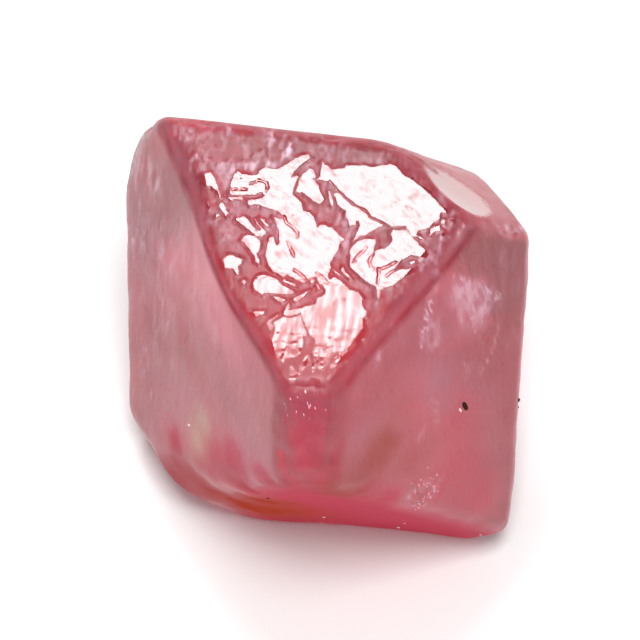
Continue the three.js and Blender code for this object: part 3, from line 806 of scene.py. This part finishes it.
SPINEL_IOR = 1.718
ABSORB_DENSITY = 200.0  # per metre
ABSORB_COLOUR = (0.97, 0.05, 0.27, 1)  # what is left of each colour, against that density
CLEAR_PINK = (0.90, 0.40, 0.58, 1)
WARM_PINK = (0.82, 0.40, 0.43, 1)
SHADE_PINK = (0.78, 0.27, 0.36, 1)
SPECK_PINK = (0.5, 0.2, 0.3, 1)
FROST_PINK = (0.90, 0.62, 0.74, 1)
CHIP_SHEEN_GREY = (0.84, 0.8, 0.78, 1)
GLINT_FEATHER_PINK = (1.0, 0.68, 0.82, 1)
# Band, rim, flush, glow, deep, low, nose, orange, rose and slit are painted shade and light; lilac,
# brown and olive only tint the colour.
SHADE_AND_SPOT_TINTS = {  # in the order in which they cover each other
    "band": (0.6, 0.17, 0.22, 1), "flush": (0.74, 0.07, 0.14, 1),
    "glow": (0.85, 0.1, 0.19, 1), "rim": (0.74, 0.36, 0.46, 1),
    "deep": (0.5, 0.06, 0.07, 1), "low": (0.66, 0.06, 0.11, 1),
    "nose": (0.56, 0.13, 0.2, 1), "orange": (0.54, 0.055, 0.02, 1),
    "brown": (0.46, 0.075, 0.06, 1), "lilac": (0.92, 0.6, 0.8, 1),
    "rose": (0.66, 0.33, 0.46, 1), "olive": (0.8, 0.58, 0.46, 1),
    "slit": (0.4, 0.12, 0.2, 1),
}
# How much of the light each tint scatters as a matte surface, instead of letting it through: on the
# painted shade it also takes away the reflection, so that the painted colour shows.
MATTE_SHARES = {"orange": 0.95, "low": 0.85, "deep": 0.85, "nose": 0.4, "brown": 0.45, "flush": 0.62,
               "glow": 0.3, "band": 0.34}

# Noises: scales per metre along x, y and z, and the amount of detail.
NOISES = {
    "fine": ((8000, 8000, 8000), 2.0), "streaks": ((4600, 1700, 900), 3.0),
    "lines": ((9000, 5200, 1300), 4.0), "specks": ((9000, 9000, 4500), 1.0),
    "warmth": ((700, 700, 500), 2.0), "threads": ((13000, 13000, 3000), 3.0),
}

# Ramps: from which value to which, and what comes out at both ends.
FROST_RAMPS = {"mottle": (0.2, 0.8, 0.3, 1.7), "streaks": (0.36, 0.64, 0.1, 1.9),
               "fine": (0.3, 0.7, 0.65, 1.35), "lines": (0.36, 0.64, 0.2, 1.8)}
GLINT_FEATHER_RAMP = (0.44, 0.62, 0.08, 0.55)
VEIL_RAMP = (0.36, 0.64, 0.1, 0.5)
WARM_RAMP = (0.4, 0.6, 0.0, 1.0)
SHADE_RAMP = (0.5, 0.85, 0.0, 0.7)
SPECK_RAMP = (0.67, 0.75, 0.0, 0.5)
SATIN_RAMP = (0.2, 0.8, 0.28, 0.38)
GLOSS_RAMP = (0.45, 0.95, 0.04, 0.26)
MATTE_TO_SPECULAR = (0.0, 0.5, 0.5, 0.0)

TOP_DULLER, NOSE_DULLER, CHIP_GLOSSIER = 0.1, 0.1, 0.6
FROST_PALES, GLINT_FEATHER_PALES = 3.0, 2.0
BUMP_FINE, BUMP_LINES, BUMP_DISTANCE = 0.3, 0.7, 0.00005
BUMP_MATT, BUMP_NOSE, BUMP_LEAST = 0.26, 0.3, 0.04


def spinel_material():
    n = Nodes("spinel_stone")
    place = n.add("ShaderNodeTexCoord").outputs["Object"]
    pattern = {}
    for name in ("plate", "top", "chip", "frost", "glint_feather", "mottle", "flow", *SHADE_AND_SPOT_TINTS):
        pattern[name] = n.add("ShaderNodeAttribute", attribute_name=name).outputs["Fac"]
    for name, (scale, detail) in NOISES.items():
        drawn = n.add("ShaderNodeMapping", {"Vector": place, "Scale": scale}).outputs[0]
        pattern[name] = n.add("ShaderNodeTexNoise",
                              {"Vector": drawn, "Scale": 1.0, "Detail": detail}).outputs[0]

    def times(a, b, clamp=False):
        return n.math("MULTIPLY", a, b, clamp)

    def ramp(value, low, high, start, end):
        return n.add("ShaderNodeMapRange", {0: value, 1: low, 2: high, 3: start, 4: end}).outputs[0]

    def mix(factor, below, above):
        return n.add("ShaderNodeMix", {0: factor, 6: below, 7: above}, data_type="RGBA").outputs[2]

    matt = n.math("SUBTRACT", 1.0, pattern["plate"])

    # Frosting: a thin worn skin that scatters some of the light, in soft patches and long lines. On
    # the chip it carries a painted reflection, the grey sheen of its glassy fracture.
    uneven = n.math("SUBTRACT", 1.0, pattern["chip"])
    for name, ends in FROST_RAMPS.items():
        uneven = times(uneven, ramp(pattern[name], *ends))
    frost = times(pattern["frost"], n.math("ADD", uneven, pattern["chip"]))
    # Painted glints: pale strokes where healed fractures flash, and where the nose and the base's
    # edges catch the light.
    glint_feather = times(pattern["glint_feather"], ramp(pattern["threads"], *GLINT_FEATHER_RAMP))
    veil = times(pattern["lilac"], ramp(pattern["lines"], *VEIL_RAMP))
    glint_feather = n.math("MAXIMUM", glint_feather, veil)
    # The matte share carries the painted shade and lowers the reflection where it lies.
    matte_share = 0.0
    for name, share in MATTE_SHARES.items():
        matte_share = n.math("MAXIMUM", matte_share, times(pattern[name], share))
    scatter = n.math("MAXIMUM", n.math("MAXIMUM", frost, glint_feather), matte_share, clamp=True)

    tint = mix(ramp(pattern["warmth"], *WARM_RAMP), CLEAR_PINK, WARM_PINK)
    tint = mix(ramp(pattern["mottle"], *SHADE_RAMP), tint, SHADE_PINK)
    tint = mix(times(frost, FROST_PALES, clamp=True), tint, FROST_PINK)
    tint = mix(times(matt, ramp(pattern["specks"], *SPECK_RAMP)), tint, SPECK_PINK)
    # The chip's pale grey is a painted reflection, the grey sheen of its glassy fracture.
    tint = mix(pattern["chip"], tint, CHIP_SHEEN_GREY)
    for name, colour in SHADE_AND_SPOT_TINTS.items():
        tint = mix(pattern[name], tint, colour)
    tint = mix(times(glint_feather, GLINT_FEATHER_PALES, clamp=True), tint, GLINT_FEATHER_PINK)

    # Roughness: satin, duller in the channels and on the nose, glossier on plates and chip.
    satin = ramp(pattern["mottle"], *SATIN_RAMP)
    satin = n.math("ADD", satin, times(pattern["top"], TOP_DULLER))
    satin = n.math("ADD", satin, times(pattern["nose"], NOSE_DULLER))
    satin = times(satin, n.math("SUBTRACT", 1.0, times(pattern["chip"], CHIP_GLOSSIER)))
    gloss = times(ramp(pattern["flow"], *GLOSS_RAMP), pattern["plate"])

    height = n.math("ADD", times(pattern["fine"], BUMP_FINE), times(pattern["lines"], BUMP_LINES))
    strength = n.math("ADD", times(matt, BUMP_MATT), times(pattern["nose"], BUMP_NOSE))
    bump = n.add("ShaderNodeBump", {"Strength": n.math("ADD", strength, BUMP_LEAST),
                                    "Distance": BUMP_DISTANCE, "Height": height}).outputs[0]
    surface = n.add("ShaderNodeBsdfPrincipled", {
        "Base Color": tint, "Roughness": n.math("ADD", times(satin, matt), gloss), "Normal": bump,
        "IOR": SPINEL_IOR, "Transmission Weight": n.math("SUBTRACT", 1.0, scatter),
        "Specular IOR Level": ramp(matte_share, *MATTE_TO_SPECULAR),
    })
    n.finish(surface, n.add("ShaderNodeVolumeAbsorption",
                            {"Color": ABSORB_COLOUR, "Density": ABSORB_DENSITY}))
    return n.material


GRAIN_SPECKLE, GRAIN_BUMP, GRAIN_BUMP_DISTANCE, GRAIN_SPECULAR = 30000.0, 0.6, 0.00001, 0.15


def grain_material(name, colour, roughness):
    n = Nodes(name)
    place = n.add("ShaderNodeTexCoord").outputs["Object"]
    speckle = n.add("ShaderNodeTexNoise", {"Vector": place, "Scale": GRAIN_SPECKLE, "Detail": 3.0})
    bump = n.add("ShaderNodeBump", {"Strength": GRAIN_BUMP, "Distance": GRAIN_BUMP_DISTANCE,
                                    "Height": speckle.outputs[0]})
    n.finish(n.add("ShaderNodeBsdfPrincipled", {
        "Base Color": colour, "Roughness": roughness, "Specular IOR Level": GRAIN_SPECULAR,
        "Normal": bump.outputs[0]}))
    return n.material


def grains_object(name, grains):
    """Closed, flattened grains, half sunk in the crystal's skin, their long way down the face."""
    turns = np.arange(GRAIN_SIDES) * 2 * math.pi / GRAIN_SIDES
    rings = np.arange(1, GRAIN_RINGS) * math.pi / GRAIN_RINGS
    ball = np.array([(0, 0, 1)] + [
        (math.sin(r) * math.cos(t), math.sin(r) * math.sin(t), math.cos(r))
        for r in rings for t in turns
    ] + [(0, 0, -1)])
    last = len(ball) - 1
    faces = []
    for t in range(GRAIN_SIDES):
        after = (t + 1) % GRAIN_SIDES
        faces.append((0, 1 + t, 1 + after))
        for r in range(GRAIN_RINGS - 2):
            a, b = 1 + r * GRAIN_SIDES, 1 + (r + 1) * GRAIN_SIDES
            faces += [(a + t, b + t, b + after), (a + t, b + after, a + after)]
        faces.append((last, last - GRAIN_SIDES + after, last - GRAIN_SIDES + t))
    places, _ = crystal_skin(unit(np.array([place for place, _, _ in grains])))
    points, triangles = [], []
    for place, (_, radius, longer) in zip(places, grains):
        normal = plane_normals[np.argmax(plane_normals @ place - plane_distances)]
        down = unit(GRAIN_DOWN - normal * (GRAIN_DOWN @ normal))
        axes = np.array([np.cross(down, normal), down * longer, normal * GRAIN_FLATNESS]) * radius
        triangles.append(np.array(faces) + sum(len(part) for part in points))
        points.append(place + ball @ axes)
    return mesh_object(name, np.concatenate(points), np.concatenate(triangles))


random = np.random.default_rng(GLITTER_SEED)
glitter = [(place, radius, longer) for centre, spread, count in GLITTER
           for place, radius, longer in zip(centre + spread * random.normal(size=(count, 3)),
                                            random.uniform(*GLITTER_RADII, size=count),
                                            random.uniform(*GLITTER_STRETCH, size=count))]
dark_grains = grains_object("dark_grains", DARK_GRAINS)
painted_glint_grains = grains_object("painted_glint_grains", PALE_GLINT_GRAINS)
painted_sparkle_grains = grains_object("painted_sparkle_grains", glitter)
crystal.data.materials.append(spinel_material())
# The pale grains and the pink sparkle grains are painted glints.
for piece, name, colour, roughness in (
        (dark_grains, "dark_grain", (0.045, 0.01, 0.006, 1), 0.85),
        (painted_glint_grains, "painted_glint_grain", (1.0, 0.88, 0.86, 1), 0.2),
        (painted_sparkle_grains, "painted_sparkle_grain", (1.0, 0.42, 0.55, 1), 0.25)):
    piece.data.materials.append(grain_material(name, colour, roughness))
for piece in (crystal, dark_grains, painted_glint_grains, painted_sparkle_grains):
    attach(piece, "root")
    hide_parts("spinel_crystal")


# ---------------- floor, lights and camera

FLOOR_SIDE, FLOOR_DROP = 4.0, 0.00002  # it lies a hair below the crystal's base
FLOOR_WHITE = 0.97
FLOOR_GLOW = 0.02  # a light table, lit from below a little
LAMPS_AIM = Vector((0, 0, 0.0045))  # a point inside the crystal
LAMP_DISTANCE = 0.6
LAMPS = {  # direction from the crystal, side, radiance
    "key": ((-0.128, 0.448, 0.885), 0.14, 13.0),
    "overhead": ((0.13, -0.2, 0.97), 0.18, 23.5),
}
SKY_BRIGHT, SKY_DIM = 0.56, 0.04
SKY_AXIS = (0.1, 0.28, 0.95)  # towards the middle of the bright part
SKY_FROM, SKY_TO = 0.08, 0.58  # cosines to that axis between which it brightens


def floor_material():
    n = Nodes("pale_floor")
    n.finish(n.add("ShaderNodeBsdfPrincipled", {
        "Base Color": (FLOOR_WHITE, FLOOR_WHITE, FLOOR_WHITE, 1), "Roughness": 0.9,
        "Specular IOR Level": 0.1, "Emission Color": (1, 1, 1, 1), "Emission Strength": FLOOR_GLOW,
    }))
    return n.material


half = FLOOR_SIDE / 2
floor_mesh = bpy.data.meshes.new("floor")
floor_mesh.from_pydata([(-half, -half, 0), (half, -half, 0), (half, half, 0), (-half, half, 0)], [],
                       [(0, 1, 2, 3)])
floor_mesh.materials.append(floor_material())
floor = bpy.data.objects.new("floor", floor_mesh)
floor.location.z = -FLOOR_DROP
bpy.context.scene.collection.objects.link(floor)


def softbox(name, direction, side, radiance):
    """A square lamp that faces the crystal."""
    lamp = bpy.data.lights.new(name, "AREA")
    lamp.shape = "SQUARE"
    lamp.size = side
    lamp.energy = radiance * math.pi * side * side
    holder = bpy.data.objects.new(name, lamp)
    holder.location = LAMPS_AIM + Vector(direction).normalized() * LAMP_DISTANCE
    holder.rotation_euler = Vector(direction).to_track_quat("Z", "Y").to_euler()
    bpy.context.scene.collection.objects.link(holder)


def sky():
    world = bpy.data.worlds.new("studio")
    bpy.context.scene.world = world
    world.use_nodes = True
    tree = world.node_tree
    tree.nodes.clear()
    place = tree.nodes.new("ShaderNodeTexCoord")
    facing = tree.nodes.new("ShaderNodeVectorMath")
    facing.operation = "DOT_PRODUCT"
    facing.inputs[1].default_value = Vector(SKY_AXIS).normalized()
    spread = tree.nodes.new("ShaderNodeMapRange")
    spread.interpolation_type = "SMOOTHSTEP"
    for key, value in {1: SKY_FROM, 2: SKY_TO, 3: SKY_DIM, 4: SKY_BRIGHT}.items():
        spread.inputs[key].default_value = value
    light = tree.nodes.new("ShaderNodeBackground")
    out = tree.nodes.new("ShaderNodeOutputWorld")
    tree.links.new(place.outputs["Generated"], facing.inputs[0])
    tree.links.new(facing.outputs["Value"], spread.inputs[0])
    tree.links.new(spread.outputs[0], light.inputs["Strength"])
    tree.links.new(light.outputs[0], out.inputs["Surface"])


for lamp_name, (direction, side, radiance) in LAMPS.items():
    softbox(lamp_name, direction, side, radiance)
sky()

# The camera looks down on the crystal from the front: place in mm, its own right, up and back.
CAMERA_PLACE = (13.04, -45.43, 94.08)
CAMERA_RIGHT = (0.98672, 0.14764, -0.06771)
CAMERA_UP = (-0.10033, 0.88182, 0.46079)
CAMERA_BACK = (0.12774, -0.44788, 0.88492)
SENSOR_WIDTH, LENS = 36, 298.35  # mm
LENS_SHIFT = (-0.0048, -0.0034)  # in sensor widths
CLIP = (0.01, 50)  # m

camera_data = bpy.data.cameras.new("camera")
camera_data.sensor_width = SENSOR_WIDTH
camera_data.lens = LENS
camera_data.shift_x, camera_data.shift_y = LENS_SHIFT
camera_data.clip_start, camera_data.clip_end = CLIP
camera = bpy.data.objects.new("camera", camera_data)
bpy.context.scene.collection.objects.link(camera)
axes = Matrix((CAMERA_RIGHT, CAMERA_UP, CAMERA_BACK)).transposed().to_4x4()
camera.matrix_world = Matrix.Translation(Vector(CAMERA_PLACE) / 1000) @ axes
bpy.context.scene.camera = camera

bpy.context.scene.view_settings.view_transform = "Standard"
